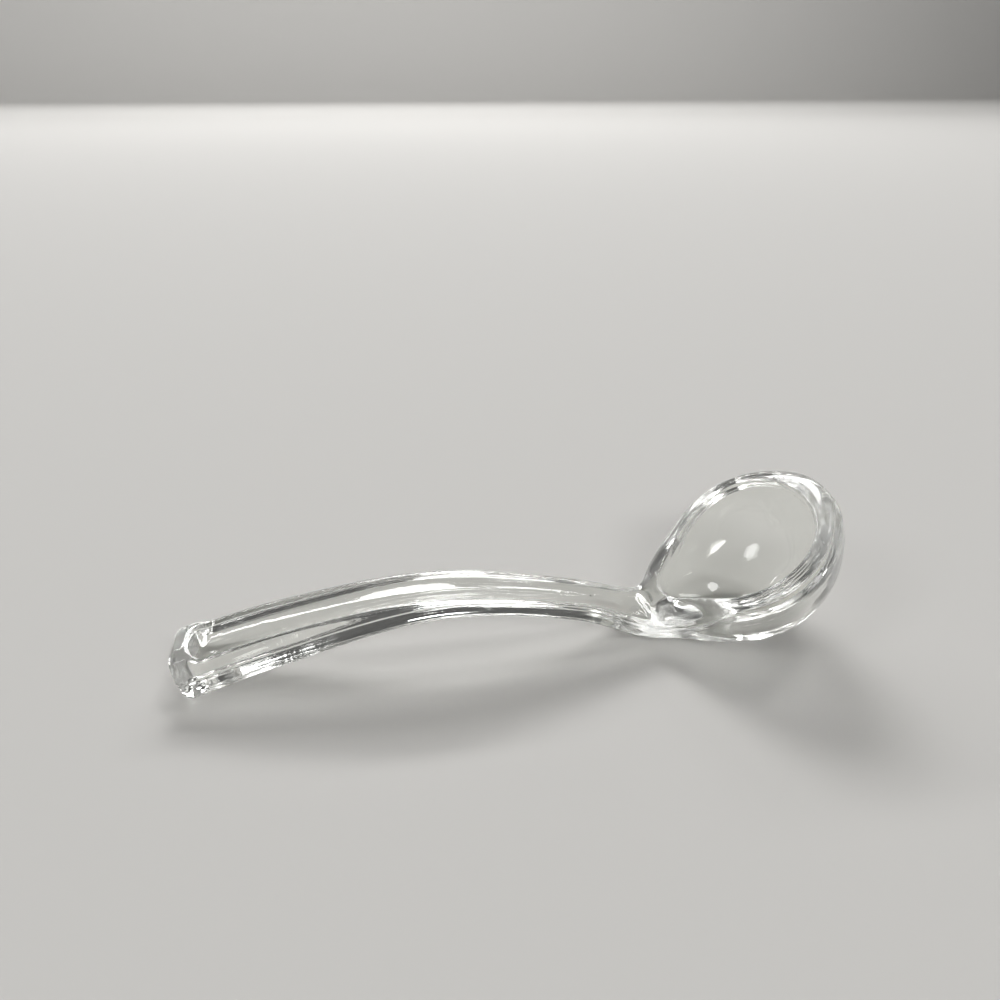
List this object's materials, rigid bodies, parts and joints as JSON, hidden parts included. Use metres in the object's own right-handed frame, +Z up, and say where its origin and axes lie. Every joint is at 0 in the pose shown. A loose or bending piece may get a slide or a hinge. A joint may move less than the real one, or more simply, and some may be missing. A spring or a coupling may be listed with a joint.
{
  "type": "glass ladle",
  "caption": "Small pressed clear-glass sauce ladle: a deep tilted bowl with a thick rounded rim and teardrop mouth, on an arched bar handle with a shallow flute.",
  "frame": {"origin": "middle of the footprint of the whole ladle, on the surface that it lies on", "axes": "+X from the handle's end towards the bowl's far lip, +Y across the ladle, +Z up from the table; the XZ plane is the plane of symmetry"},
  "size_m": [0.1332, 0.0404, 0.032],
  "materials": {
    "clear_glass": "fire-polished clear pressed glass with a faint warm tint, soft mould ripples and fine wear scratches"
  },
  "bodies": {
    "root": {"bowl": "clear_glass", "handle": "clear_glass"}
  },
  "joints": []
}
